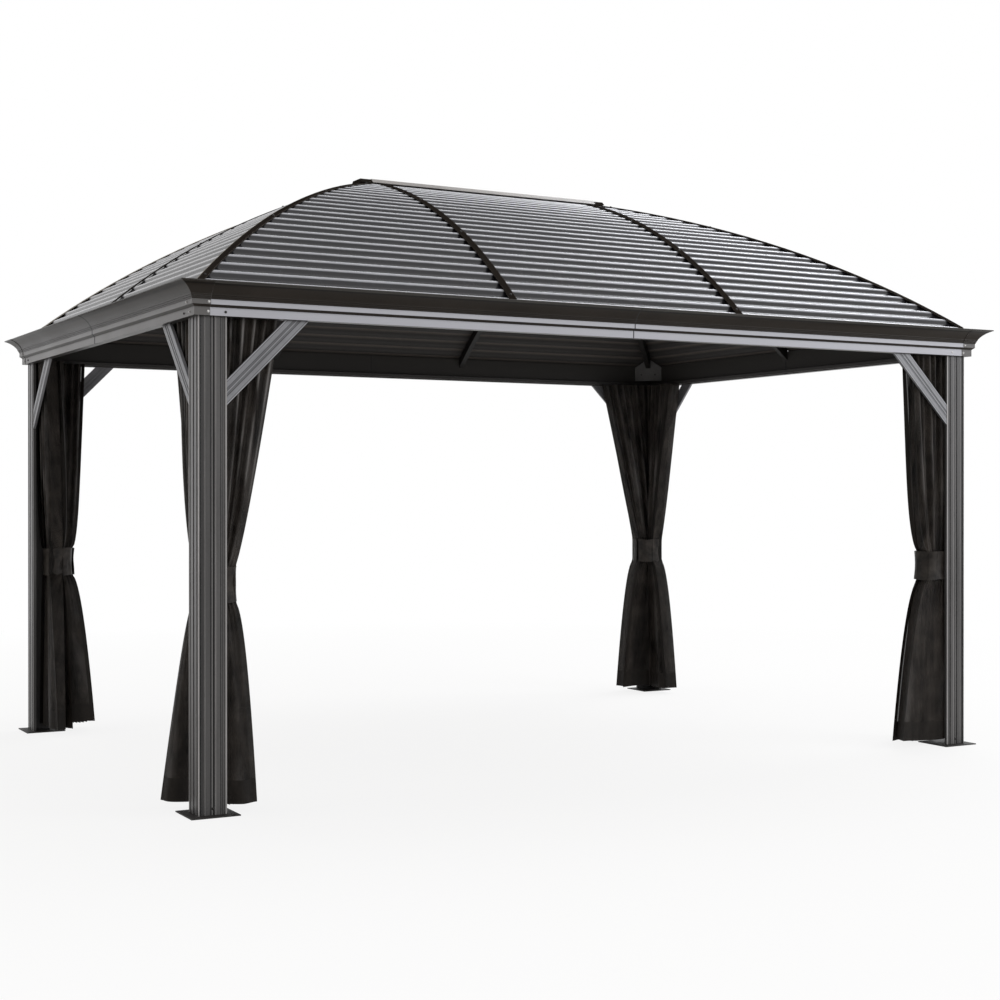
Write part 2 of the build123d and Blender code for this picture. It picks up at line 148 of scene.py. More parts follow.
def feed(finish, links):
    """Link what changes over the surface to the shader's sockets."""
    tree = finish.node_tree
    for socket, source in links.items():
        tree.links.new(source.output, tree.nodes["Principled BSDF"].inputs[socket])


def dimmed(colour, share):
    """A share of a colour, with an alpha of 1."""
    return tuple(share * part for part in colour) + (1,)


def powder_coat(name, colour, worn_and_highlit, roughness, gloss, edge=0.0015, streak=(1, 1, 1), paint=None):
    """Powder coat on metal: orange peel, cloudy dust drawn along the piece, and pale edges, partly rubbed
    wear and partly painted highlight.

    The mask for the edges is how far the normal, rounded over a small radius, leaves the face's own.
    Grooves and inside corners, where little open air is left within a few millimetres, get painted shade
    and are made rougher.
    Where paint is given, it changes the colour by place and gives a relief to go with it.
    """
    finish, place = new_finish(name, {"Specular IOR Level": gloss, "IOR": 1.5})
    cloud = place.stretched(*streak).noise(3.0, 5.0, 0.6)
    specks = place.noise(160.0, 2.0)
    peel = place.noise(900.0, 2.0)
    rounded = place.node("ShaderNodeBevel", {"samples": 4}, {"Radius": edge})
    flat = place.node("ShaderNodeNewGeometry", {}, {}, output="True Normal")
    along = place.node(
        "ShaderNodeVectorMath", {"operation": "DOT_PRODUCT"}, {0: rounded, 1: flat}, output="Value"
    )
    # Pale edges, partly rubbed wear and partly painted highlight, where the rounded normal turns away
    # from the face's own.
    rubbed_and_highlit = ((1 - along) * 2.2 * (0.4 + cloud)).kept()
    open_air = place.node(
        "ShaderNodeAmbientOcclusion",
        {"samples": 5, "only_local": True},
        {"Distance": 0.010},
        output="AO",
    )
    occlusion_shade = ((1 - open_air) * 1.8).kept()
    dusty = tuple(1.25 * part + 0.004 for part in colour) + (1,)
    coat = ((cloud - 0.5) * 1.6 + 0.5 + (specks - 0.5) * 0.5).kept().blend(dimmed(colour, 0.72), dusty)
    height = peel * 0.6 + specks * 0.4
    if paint:
        coat, relief = paint(place, coat)
        height = height + relief
    # Painted shade: the coat is darkened in grooves and inside corners, where little open air is near.
    coat = occlusion_shade.blend(coat, dimmed(colour, 0.2))
    bump = place.node(
        "ShaderNodeBump",
        {},
        {"Strength": 0.12, "Distance": 0.0005, "Height": height, "Normal": rounded},
    )
    feed(
        finish,
        {
            "Base Color": rubbed_and_highlit.blend(coat, worn_and_highlit + (1,)),
            "Roughness": roughness + (cloud - 0.5) * 0.16 + occlusion_shade * 0.3,
            "Normal": bump,
        },
    )
    return finish


def dress(names, finish):
    """Give CAD nodes a material in place of the one that they came with."""
    for name in names:
        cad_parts[name].data.materials.clear()
        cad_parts[name].data.materials.append(finish)


plate_black = powder_coat("plate_black", (0.012, 0.010, 0.009), (0.05, 0.045, 0.04), 0.6, 0.3)
dress(["base_plates"], plate_black)

# Corner posts and knee braces: fluted aluminium extrusions in charcoal powder coat.
# The posts stand on the plates, and the braces are screwed between them and the beams.
corner_signs = {
    "front_left": (-1, -1),
    "front_right": (1, -1),
    "back_left": (-1, 1),
    "back_right": (1, 1),
}
post_low, post_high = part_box("corner_post_front_left")
half_x = -post_low[0]
half_y = -post_low[1]
eave = post_high[2]
post_wall = 0.016
post_leg = post_high[0] - post_low[0]
brace_reach = 0.300
brace_width = 0.071
# Fine reeds across a face, as (share of its width, level): beads with painted highlights and grooves with
# painted shade
post_reed_shading = (
    (0.000, 1.00), (0.030, 1.00), (0.036, 0.01), (0.090, 0.01), (0.100, 0.11), (0.185, 0.12),
    (0.195, 0.42), (0.235, 0.42), (0.245, 0.17), (0.400, 0.19), (0.415, 0.02), (0.455, 0.02),
    (0.475, 0.40), (0.505, 0.40), (0.515, 0.00), (0.555, 0.00), (0.575, 0.38), (0.620, 0.38),
    (0.635, 0.22), (0.760, 0.22), (0.770, 0.02), (0.795, 0.02), (0.805, 0.42), (0.820, 0.42),
    (0.830, 0.03), (0.845, 0.03), (0.855, 0.24), (0.945, 0.24), (0.955, 0.75), (1.000, 0.75),
)
brace_reed_shading = (
    (0.00, 0.30), (0.05, 0.30), (0.07, 0.06), (0.09, 0.06), (0.11, 0.19), (0.31, 0.19), (0.33, 0.05),
    (0.36, 0.05), (0.38, 0.14), (0.42, 0.14), (0.44, 0.05), (0.46, 0.05), (0.48, 0.25), (0.52, 0.25),
    (0.54, 0.05), (0.56, 0.05), (0.58, 0.14), (0.62, 0.14), (0.64, 0.05), (0.67, 0.05), (0.69, 0.19),
    (0.89, 0.19), (0.91, 0.06), (0.93, 0.06), (0.95, 0.30), (1.00, 0.30),
)


def outward(place):
    """1 on faces that look out from the middle of the gazebo, 0 on faces that look in."""
    normal = place.node("ShaderNodeNewGeometry", {}, {}, output="True Normal")
    return normal.part("X") * place.part("X") + normal.part("Y") * place.part("Y") > 0


def from_post(place, x_zero, y_zero):
    """Distance in from a line: along x on front and back faces, and along y on the ends' faces."""
    normal = place.node("ShaderNodeNewGeometry", {}, {}, output="True Normal")
    front = normal.part("Y").size() > 0.5
    return front * (x_zero - place.part("X").size()) + (1 - front) * (y_zero - place.part("Y").size())


def reeded(coat, share, reeds, where):
    """A coat with reeds: its colour is six times the level, which paints highlights on the beads and
    shade in the grooves, and the level is the relief as well.
    """
    level = share.kept().ramp(reeds) * where + (1 - where) * 0.17
    scaled = coat.node("ShaderNodeVectorMath", {"operation": "SCALE"}, {0: coat, "Scale": level * 6})
    return scaled, level * 3


def post_paint(place, coat):
    """Reeds up the outer faces of the posts, counted from the outer corner, with painted highlights and
    shade.
    """
    share = from_post(place, half_x, half_y) * (1 / post_leg)
    return reeded(coat, share, post_reed_shading, outward(place))


def brace_paint(place, coat):
    """Reeds along the braces, where height less distance in from the post is the same all along, and
    painted shade on faces that do not look along y.
    """
    inward = from_post(place, half_x - post_leg, half_y - post_leg)
    share = (place.part("Z") - inward - (eave - brace_reach)) * (np.sqrt(0.5) / brace_width) + 0.5
    # Painted shade: faces that do not look along y, as on the short sides' braces, keep 0.55 of the
    # colour.
    front = place.node("ShaderNodeNewGeometry", {}, {}, output="True Normal").part("Y").size() > 0.5
    shade = {0: coat, "Scale": 0.55 + front * 0.45}
    coat = place.node("ShaderNodeVectorMath", {"operation": "SCALE"}, shade)
    return reeded(coat, share, brace_reed_shading, outward(place))


# Pale edge colour for the charcoal parts: rubbed wear and painted highlight.
charcoal_worn_and_highlit = (0.34, 0.33, 0.33)
post_grey = powder_coat(
    "post_grey", (0.066, 0.0635, 0.062), charcoal_worn_and_highlit, 0.36, 0.15, 0.0016, (14, 14, 0.7), post_paint
)
dress([f"corner_post_{corner}" for corner in corner_signs], post_grey)
brace_grey = powder_coat(
    "brace_grey", (0.165, 0.165, 0.174), charcoal_worn_and_highlit, 0.38, 0.3, 0.0012, (2, 2, 2), brace_paint
)
dress([f"knee_braces_{corner}" for corner in corner_signs], brace_grey)

# Eave beams: a gutter folded from aluminium, with a cornice outside of band, step and cove.
# Each side is two lengths that butt at mid-side and are mitred at the corners.
band_out = 0.023
band_high = 0.033
step_out = 0.035
step_high = 0.043
cove_foot = 0.063
cove_radius = 0.065
lip_out = step_out + cove_radius
lip_high = 0.131
skin = 0.003
joint_gaps = {"front": 0.005, "back": 0.005, "left": 0.014, "right": 0.014}
web_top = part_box("eave_beam_front")[1][2] - eave


def add_piece(name, points, faces, finish, uv=None, smooth=35.0):
    """Mesh from points and faces, on the one body, smooth below an angle and sharp at its borders."""
    mesh = bpy.data.meshes.new(name)
    mesh.from_pydata(points.reshape(-1, 3).tolist(), [], faces)
    if uv is not None:
        corners = np.empty(len(mesh.loops), dtype=np.int32)
        mesh.loops.foreach_get("vertex_index", corners)
        layer = mesh.uv_layers.new(name="cloth")
        layer.data.foreach_set("uv", uv.reshape(-1, 2)[corners].astype(np.float32).ravel())
    mesh.materials.append(finish)
    mesh.shade_smooth()
    mesh.set_sharp_from_angle(angle=np.radians(smooth))
    sides = np.empty(len(mesh.loops), dtype=np.int32)
    mesh.loops.foreach_get("edge_index", sides)
    sharp = np.empty(len(mesh.edges), dtype=bool)
    mesh.edges.foreach_get("use_edge_sharp", sharp)
    sharp |= np.bincount(sides, minlength=len(sharp)) == 1
    mesh.edges.foreach_set("use_edge_sharp", sharp)
    piece = bpy.data.objects.new(name, mesh)
    bpy.context.collection.objects.link(piece)
    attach(piece, "root")
    return piece


def grid_faces(rows, columns, round_columns=False, turned=False):
    """Four-cornered faces of a grid of points, whose columns may close on themselves."""
    index = np.arange(rows * columns).reshape(rows, columns)
    right = np.roll(index, -1, axis=1)
    if not round_columns:
        index, right = index[:, :-1], right[:, :-1]
    quads = np.stack([index[:-1], right[:-1], right[1:], index[1:]], axis=-1).reshape(-1, 4)
    return quads[:, ::-1].tolist() if turned else quads.tolist()


cove_chord = np.hypot(cove_radius, lip_high - skin - cove_foot)
cove_sag = 0.0107
flat_radius = cove_chord**2 / (8 * cove_sag) + cove_sag / 2
cove_foot_point = np.array([step_out, cove_foot])
cove_lip_point = np.array([lip_out, lip_high - skin])
cove_way = (cove_lip_point - cove_foot_point) / cove_chord
cove_square = np.array([cove_way[1], -cove_way[0]])
cove_middle = (cove_foot_point + cove_lip_point) / 2 + (flat_radius - cove_sag) * cove_square
reed_share = 0.24
reed_deep = 0.0018


def cove_points(inset):
    """The cove's arc, less an inset, with three small reeds at its foot that stand out from it."""
    start = np.arctan2(*(cove_foot_point - cove_middle)[::-1])
    end = np.arctan2(*(cove_lip_point - cove_middle)[::-1])
    share = np.concatenate([np.linspace(0, reed_share, 19), np.linspace(reed_share, 1, 13)[1:]])
    angle = start + (end - start) * share
    reed = reed_deep * np.abs(np.sin(3 * np.pi * np.clip(share / reed_share, 0, 1)))
    way = np.stack([np.cos(angle), np.sin(angle)], axis=1)
    return cove_middle + (flat_radius - inset - reed)[:, None] * way


beam_outline = np.concatenate(
    [
        [(band_out, 0.0), (band_out, band_high), (step_out, step_high)],
        cove_points(0.0),
        [(lip_out, lip_high)],
        cove_points(-skin)[:0:-1],
        [(step_out - skin, step_high), (band_out - skin, band_high), (band_out - skin, skin)],
        [(skin - post_wall, skin), (skin - post_wall, web_top), (-post_wall, web_top)],
        [(-post_wall, 0.0)],
    ]
)


edge_margin = 0.0005
lip_band = 0.010
lip_shadow_depth = 0.015


def band_paint(band_colour, lip_colour):
    """Coloured by height outside: flat bands painted pale as painted light, a dark cove, and a lip
    painted pale as painted light with a painted shadow line under it.
    """

    def paint(place, coat):
        normal = place.node("ShaderNodeNewGeometry", {}, {}, output="True Normal")
        outside = outward(place)
        up = place.part("Z") - eave
        low = (up > edge_margin) * (up < band_high + edge_margin)
        high = (up > step_high - edge_margin) * (up < cove_foot)
        bands = (low + high) * outside * (normal.part("Z").size() < 0.3)
        grain = place.stretched(0.6, 0.6, 60).noise(8.0, 3.0)
        # Painted light: the flat outer bands are coloured pale.
        lit_band = (0.3 + grain * 0.7).blend(dimmed(band_colour, 0.8), band_colour + (1,))
        lip = (up > lip_high - lip_band) * outside
        lip_shadow = (up > lip_high - lip_shadow_depth) * outside * (1 - lip)
        lit_lip = (0.2 + grain * 0.8).blend(dimmed(lip_colour, 0.4), lip_colour + (1,))
        coat = outside.blend((0.036, 0.034, 0.032, 1), coat)
        # Painted light on the lip, and a painted shadow line under it.
        coat = lip.blend(lip_shadow.blend(coat, (0.009, 0.0075, 0.006, 1)), lit_lip)
        return bands.blend(coat, lit_band), grain * 0.2

    return paint


cove_brown = (0.0165, 0.0126, 0.0093)
# The short sides' bands and lip are coloured darker than the long sides' as painted shade.
long_paint = band_paint((0.45, 0.45, 0.48), (0.07, 0.066, 0.059))
shaded_short_band_paint = band_paint((0.13, 0.125, 0.121), (0.034, 0.029, 0.024))
cornice_grey = powder_coat(
    "cornice_grey", cove_brown, (0.018, 0.014, 0.011), 0.38, 0.1, 0.0012, paint=long_paint
)
cap_grey = powder_coat("cap_grey", cove_brown, charcoal_worn_and_highlit, 0.38, 0.1, 0.0012, paint=shaded_short_band_paint)


def side_points(along, out, up, side):
    """Points of a side from distance along it, distance out from the posts' faces, and height."""
    if side in ("front", "back"):
        sign = -1 if side == "front" else 1
        return np.stack([-sign * along, sign * (half_y + out), eave + up], axis=-1)
    sign = -1 if side == "left" else 1
    return np.stack([sign * (half_x + out), sign * along, eave + up], axis=-1)


def eave_beam(side):
    """The beam's outline carried along a side, out to the mitre, where along = reach + out."""
    long_side = side in ("front", "back")
    reach = half_x if long_side else half_y
    finish = cornice_grey if long_side else cap_grey
    out, up = beam_outline.T
    count = len(out)
    lengths = []
    faces = []
    for sign in (-1, 1):
        along = sign * np.stack([np.full(count, joint_gaps[side] / 2), reach + out])
        pair = side_points(along, np.stack([out, out]), np.stack([up, up]), side)
        first = len(lengths) * 2 * count
        ring = np.array(grid_faces(2, count, True, turned=sign > 0)) + first
        ends = np.stack([np.arange(count), np.arange(count) + count]) + first
        faces += ring.tolist()
        faces += [ends[0][:: -sign].tolist(), ends[1][::sign].tolist()]
        lengths.append(pair)
    return add_piece(f"cornice_{side}", np.array(lengths), faces, finish, smooth=20)


for side in joint_gaps:
    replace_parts(eave_beam(side), f"eave_beam_{side}")

# Joint gaskets: strips of black rubber, cut to the beam's outline.
# One is pressed between the two lengths of each side, over the splice plate.
gasket_black, place = new_finish("gasket_black", {"Base Color": (0.004, 0.0036, 0.0033, 1)})
grain = place.noise(300.0, 2.0)
feed(gasket_black, {"Roughness": 0.7 + grain * 0.2})
outline_points = len(beam_outline)
one_gasket = np.array(grid_faces(2, outline_points, True, turned=True))
gasket_points = []
gasket_faces = []
for number, (side, gap) in enumerate(joint_gaps.items()):
    along = np.array([[-0.5], [0.5]]) * gap + np.zeros(outline_points)
    out, up = beam_outline.T[:, None] + 0 * along
    gasket_points.append(side_points(along, out, up, side))
    gasket_faces += (one_gasket + number * 2 * outline_points).tolist()
add_piece("joint_gaskets", np.array(gasket_points), gasket_faces, gasket_black, smooth=20)

# Corner caps: thin skins of folded aluminium in the cornice's own shape and coat.
# One is slipped over each mitre and held by two screws in each of its two faces.
cap_wall = 0.002
cap_fit = 0.0003
cap_inset = 0.040


def cap_skin(out):
    """Outline of the cornice, moved out from its own faces."""
    straight = [(band_out + out, 0.0), (band_out + out, band_high), (step_out + out, step_high)]
    return np.concatenate([straight, cove_points(out)])


lip_under = lip_high - skin
cap_outline = np.concatenate(
    [
        cap_skin(cap_wall),
        [(lip_out + cap_wall, lip_under - cap_wall), (lip_out + cap_wall, lip_high)],
        [(lip_out + cap_fit, lip_high), (lip_out + cap_fit, lip_under - cap_fit)],
        cap_skin(cap_fit)[::-1],
    ]
)
cap_out, cap_up = cap_outline.T
cap_path = np.stack([np.full_like(cap_out, -cap_inset), cap_out, cap_out])
cap_across = np.stack([cap_out, cap_out, np.full_like(cap_out, -cap_inset)])
corner_skins = []
corner_faces = []
for sign_x, sign_y in corner_signs.values():
    x = sign_x * (half_x + cap_path)
    y = sign_y * (half_y + cap_across)
    z = np.broadcast_to(eave + cap_up, x.shape)
    first = len(corner_skins) * x.size
    count = len(cap_out)
    inside_out = sign_x * sign_y > 0
    corner_faces += (np.array(grid_faces(3, count, True, turned=inside_out)) + first).tolist()
    ends = np.stack([np.arange(count), np.arange(count) + 2 * count]) + first
    turn = -1 if inside_out else 1
    corner_faces += [ends[0][::-turn].tolist(), ends[1][::turn].tolist()]
    corner_skins.append(np.stack([x, y, z], axis=-1))
caps = add_piece("corner_skins", np.array(corner_skins), corner_faces, cap_grey, smooth=20)
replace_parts(caps, "corner_caps")

# Rafters, hubs, ridge beam and splices: extrusions and plates under the roof, coated black-brown.
# The rafters are rolled to the roof's bow and screwed to the hubs and brackets.
rafter_black = powder_coat(
    "rafter_black", (0.009, 0.008, 0.0072), (0.05, 0.045, 0.04), 0.45, 0.2, 0.0012
)
dress(
    ["hip_rafters", "common_rafters", "end_rafters", "ridge_hubs", "ridge_beam", "splice_plates"],
    rafter_black,
)

# Corner brackets and curtain rails: grey plates across the inside corners, and slim dark grey rails.
# The brackets are screwed to the beams, and the rails run along the foot of the beams' inner webs.
fitting_worn_and_highlit = (0.42, 0.40, 0.385)
bracket_grey = powder_coat("bracket_grey", (0.10, 0.097, 0.095), fitting_worn_and_highlit, 0.4, 0.25, 0.0012)
dress(["corner_brackets"], bracket_grey)
rail_grey = powder_coat("rail_grey", (0.038, 0.036, 0.034), fitting_worn_and_highlit, 0.4, 0.25, 0.0022)
dress(["long_curtain_rails", "short_curtain_rails"], rail_grey)

# Roof sheets: steel pressed into shallow rounded corrugations along the eaves, rolled to the bow.
# They are coated dark grey, with a painted highlight along the crests, and lie on the rafters, three to
# each long slope and two to each end.
roof_foot = eave + 0.134
roof_rise = 0.729
roof_bow = 0.0975
foot_reach = half_y - post_wall
ridge_half = half_x - half_y
chord = np.hypot(foot_reach, roof_rise)
roof_radius = chord**2 / (8 * roof_bow) + roof_bow / 2
centre_out = foot_reach / 2 - (roof_radius - roof_bow) * roof_rise / chord
centre_up = roof_foot + roof_rise / 2 - (roof_radius - roof_bow) * foot_reach / chord
sheet_eave = half_y + 0.007
sheet_top = 0.022
sheet_gap = 0.005
sheet_lift = 0.0013
sheet_wall = 0.001
wave_pitch = 0.0655
wave_high = 0.0138
wave_round = 1.35
points_a_wave = 14
sheet_columns = 9

sheet_grey, place = new_finish("sheet_grey", {"IOR": 1.5, "Specular IOR Level": 0.46})
cloud = place.noise(2.6, 5.0, 0.6)
drift = place.noise(11.0, 4.0, 0.6)
specks = place.noise(420.0, 2.0)
peel = place.noise(1200.0, 1.0)
outer = place.node("ShaderNodeNewGeometry", {}, {}, output="True Normal").part("Z") > 0
crest = place.node("ShaderNodeAttribute", {"attribute_name": "crest"}, {}, output="Fac")
# Painted highlight: the crests are coloured pale over darker valleys.
crest_highlight = ((crest - 0.69) * 4.4 + (drift - 0.5) * 0.4).kept()
mottle = (cloud * 0.7 + drift * 0.3 + (specks - 0.5) * 0.25).kept()
coat = crest_highlight.blend(
    mottle.blend((0.0095, 0.009, 0.0105, 1), (0.021, 0.020, 0.023, 1)),
    mottle.blend((0.36, 0.36, 0.385, 1), (0.50, 0.50, 0.525, 1)),
)
under = ((crest - 0.5) * 2).kept().blend((0.010, 0.008, 0.0068, 1), (0.052, 0.043, 0.036, 1))
feed(
    sheet_grey,
    {
        "Base Color": outer.blend(under, coat),
        "Roughness": 0.75 - outer * 0.49 + (drift - 0.5) * 0.08 + (specks - 0.5) * 0.05,
        "Normal": place.node(
            "ShaderNodeBump",
            {},
            {"Strength": 0.15, "Distance": 0.0004, "Height": peel * 0.5 + specks * 0.5},
        ),
    },
)


def roof_sheet(node, place_on, near_edge, far_edge):
    """Corrugated sheet on the roof's arc, as a grid of distance up the slope and share across.

    At angle a on the arc a point is out = centre_out + r cos a, up = centre_up + r sin a, where
    r is the roof's radius raised by a rounded wave, (half + half cos(2 pi d / pitch)) ** wave_round.
    """
    first = np.arccos((sheet_eave - centre_out) / roof_radius)
    last = np.arccos((sheet_top - centre_out) / roof_radius)
    length = roof_radius * (last - first)
    distance = np.linspace(0, length, int(points_a_wave * length / wave_pitch))
    turns = distance / wave_pitch - 0.5
    whole_waves = distance < wave_pitch * np.floor(length / wave_pitch)
    rise = wave_high * (0.5 + 0.5 * np.cos(2 * np.pi * turns)) ** wave_round * whole_waves
    radius = roof_radius + sheet_lift + rise
    angle = first + distance / roof_radius
    out = centre_out + radius * np.cos(angle)
    up = centre_up + radius * np.sin(angle)
    share = np.linspace(0, 1, sheet_columns)
    along = near_edge(out)[:, None] * (1 - share) + far_edge(out)[:, None] * share
    points = place_on(along, np.broadcast_to(out[:, None], along.shape))
    points = np.concatenate([points, np.broadcast_to(up[:, None, None], along.shape + (1,))], axis=-1)
    across = points[0, 1] - points[0, 0]
    upward = points[-1, 0] - points[0, 0]
    turned = np.cross(across, upward)[2] < 0
    faces = grid_faces(len(distance), sheet_columns, turned=turned)
    sheet = add_piece(node.removeprefix("roof_"), points, faces, sheet_grey, smooth=60)
    height = sheet.data.attributes.new("crest", "FLOAT", "POINT")
    height.data.foreach_set("value", np.repeat(rise / wave_high, sheet_columns).astype(np.float32))
    wall = sheet.modifiers.new("wall", "SOLIDIFY")
    wall.thickness = sheet_wall
    wall.offset = -1
    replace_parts(sheet, node)


def rib_edge(out):
    """Straight edge beside a rafter that runs square to the eaves."""
    return np.full_like(out, sheet_gap)


def hip_edge(out):
    """Slanting edge beside a hip, where the distance along equals the distance out."""
    return out - np.sqrt(2) * sheet_gap


for face, sign_y in (("front", -1), ("back", 1)):
    middle = ridge_half - sheet_gap
    roof_sheet(
        f"roof_sheet_{face}_middle",
        lambda along, out: np.stack([along, sign_y * out], axis=-1),
        lambda out: np.full_like(out, -middle),
        lambda out: np.full_like(out, middle),
    )
for corner, (sign_x, sign_y) in corner_signs.items():
    roof_sheet(
        f"roof_sheet_long_side_{corner}",
        lambda along, out: np.stack([sign_x * (ridge_half + along), sign_y * out], axis=-1),
        rib_edge,
        hip_edge,
    )
    roof_sheet(
        f"roof_sheet_short_end_{corner}",
        lambda along, out: np.stack([sign_x * (ridge_half + out), sign_y * along], axis=-1),
        rib_edge,
        hip_edge,
    )

# Covers and ridge cap: strips of folded steel, coated black-brown, and a grey channel for the ridge.
# The strips are screwed down over the rafters, and the channel sits on their upper ends.
cover_brown = (0.017, 0.0135, 0.0108)
cover_worn_and_highlit = (0.34, 0.31, 0.28)
cover_half = 0.018
edge_highlight_width = 0.0085
cover_black = powder_coat("cover_black", cover_brown, cover_worn_and_highlit, 0.6, 0.0, 0.0016)
dress(["common_covers", "end_covers", "ridge_cap_ends"], cover_black)


def hip_paint(place, coat):
    """Painted highlight along the edge on the end's side of a hip's cover: across = (|x| - ridge_half -
    |y|) / root 2.
    """
    across = (place.part("X").size() - ridge_half - place.part("Y").size()) * np.sqrt(0.5)
    return (across > cover_half - edge_highlight_width).blend(coat, (0.36, 0.33, 0.29, 1)), 0.0


hip_black = powder_coat("hip_black", cover_brown, cover_worn_and_highlit, 0.6, 0.0, 0.0016, paint=hip_paint)
dress(["hip_covers"], hip_black)
ridge_cap_grey = powder_coat(
    "ridge_cap_grey", (0.27, 0.25, 0.23), (0.42, 0.40, 0.37), 0.36, 0.5, 0.0015
)
dress(["ridge_cap"], ridge_cap_grey)

# Closures: strips of black foam that stand on the rafters between the sheets, under the covers.
# They shut the gaps that the corrugations leave there.
closure_half = 0.004
closure_top = 0.0150
closure_sunk = 0.0005
closure_start = 0.07
hip_closure_end = half_y - 0.01
closure_steps = 40
closure_black, place = new_finish("closure_black", {"Specular IOR Level": 0.1})
pores = place.noise(900.0, 3.0)
feed(
    closure_black,
    {
        "Base Color": pores.blend((0.003, 0.003, 0.003, 1), (0.010, 0.009, 0.009, 1)),
        "Roughness": 0.85 + pores * 0.1,
    },
)


def closure(plan_place, first_out, last_out):
    """Square strip along the roof's arc: four edges, low and high on each side, carried outwards."""
    out = np.linspace(first_out, last_out, closure_steps)
    side = closure_half * np.array([-1, 1, 1, -1])
    raised = np.array([-closure_sunk, -closure_sunk, closure_top, closure_top])
    angle = np.arccos((out - centre_out) / roof_radius)[:, None]
    up = centre_up + (roof_radius + raised) * np.sin(angle)
    x, y = plan_place(out[:, None] + 0 * up, side[None] + 0 * up)
    return np.stack([x, y, up], axis=-1)


closure_points = []
for sign_x, sign_y in corner_signs.values():
    closure_points.append(
        closure(lambda out, side: (sign_x * ridge_half + side, sign_y * out), closure_start, half_y)
    )
    closure_points.append(
        closure(
            lambda out, side: (
                sign_x * (ridge_half + out + side / np.sqrt(2)),
                sign_y * (out - side / np.sqrt(2)),
            ),
            closure_start,
            hip_closure_end,
        )
    )
    if sign_y < 0:
        closure_points.append(
            closure(lambda out, side: (sign_x * (ridge_half + out), side), closure_start, half_y)
        )
one_closure = np.array(grid_faces(closure_steps, 4, True))
closure_ends = [[0, 1, 2, 3], [closure_steps * 4 - corner for corner in (1, 2, 3, 4)]]
closure_faces = []
for number in range(len(closure_points)):
    closure_faces += (one_closure + number * closure_steps * 4).tolist()
    closure_faces += (np.array(closure_ends) + number * closure_steps * 4).tolist()
add_piece("closures", np.array(closure_points), closure_faces, closure_black)

# Screws: steel with round flanged heads, zinc plated at the caps and mostly coated black elsewhere.
# They hold the post feet, the beams' ends and caps, the cover strips and the corner brackets.
head_radius = 0.0055
head_high = 0.0038
screw_rings = ((1.0, -0.1), (1.0, 0.22), (0.7, 0.3), (0.66, 0.95), (0.5, 1.0))
screw_sides = 12


def screw_heads(places, normals):
    """A flanged head at each place: rings of points round its normal, of set radius and height."""
    helper = np.where(np.abs(normals[:, 2:]) > 0.9, [[1.0, 0, 0]], [[0, 0, 1.0]])
    first = np.cross(helper, normals)
    first /= np.linalg.norm(first, axis=1, keepdims=True)
    second = np.cross(normals, first)
    angle = np.arange(screw_sides) * 2 * np.pi / screw_sides
    round_way = first[:, None] * np.cos(angle)[:, None] + second[:, None] * np.sin(angle)[:, None]
    wide, tall = np.array(screw_rings).T
    points = (
        places[:, None, None]
        + head_radius * wide[:, None, None] * round_way[:, None]
        + head_high * tall[:, None, None] * normals[:, None, None]
    )
    one = np.array(grid_faces(len(wide), screw_sides, True))
    lid = np.arange(screw_sides) + (len(wide) - 1) * screw_sides
    starts = np.arange(len(places)) * len(wide) * screw_sides
    faces = (one[None] + starts[:, None, None]).reshape(-1, 4).tolist()
    return points, faces + (lid[None] + starts[:, None]).tolist()


foot_screw_in = 0.060
foot_screw_up = 0.030
flute_deep = 0.0025
band_screw_in = 0.105
cap_screw_in = 0.032
low_screw_up = eave + 0.016
high_screw_up = eave + 0.053
bracket_in = 0.0771
bracket_screw_up = eave + 0.080
bracket_screw_side = 0.045
cover_top = 0.0196
cover_screws_out = (0.12, 0.50, 0.92, 1.385)
hip_screw_back = 0.0127
cap_low = band_out + cap_wall
cap_high = step_out + cap_wall
screws = []
for sign_x, sign_y in corner_signs.values():
    bracket = np.array([sign_x * (half_x - bracket_in), sign_y * (half_y - bracket_in), bracket_screw_up])
    across = np.array([-sign_x, sign_y, 0.0]) / np.sqrt(2)
    towards_room = np.array([-sign_x, -sign_y, 0.0]) / np.sqrt(2)
    end_way, side_way = (sign_x, 0, 0), (0, sign_y, 0)
    for x, y, z, normal, bright in (
        (half_x - flute_deep, half_y - foot_screw_in, foot_screw_up, end_way, False),
        (half_x - foot_screw_in, half_y - flute_deep, foot_screw_up, side_way, False),
        (half_x + band_out, half_y - band_screw_in, low_screw_up, end_way, False),
        (half_x - band_screw_in, half_y + band_out, low_screw_up, side_way, sign_x > 0),
        (half_x + cap_low, half_y - cap_screw_in, low_screw_up, end_way, True),
        (half_x - cap_screw_in, half_y + cap_low, low_screw_up, side_way, True),
        (half_x + cap_high, half_y - cap_screw_in, high_screw_up, end_way, True),
        (half_x - cap_screw_in, half_y + cap_high, high_screw_up, side_way, True),
    ):
        screws.append(((sign_x * x, sign_y * y, z), normal, bright))
    for side in (-bracket_screw_side, bracket_screw_side):
        screws.append((bracket + side * across, towards_room, False))
    for out in cover_screws_out:
        angle = np.arccos((out - centre_out) / roof_radius)
        top = centre_up + (roof_radius + cover_top) * np.sin(angle)
        far = centre_out + (roof_radius + cover_top) * np.cos(angle)
        slope_way = (0, sign_y * np.cos(angle), np.sin(angle))
        screws.append(((sign_x * ridge_half, sign_y * far, top), slope_way, False))
        if sign_y < 0:
            slope_end_way = (sign_x * np.cos(angle), 0, np.sin(angle))
            screws.append(((sign_x * (ridge_half + far), 0.0, top), slope_end_way, False))
        hip_x = sign_x * (ridge_half + far - hip_screw_back)
        screws.append(((hip_x, sign_y * far, top), slope_way, False))
screw_zinc, place = new_finish("screw_zinc", {"Specular IOR Level": 0.5})
tarnish = place.noise(240.0, 3.0)
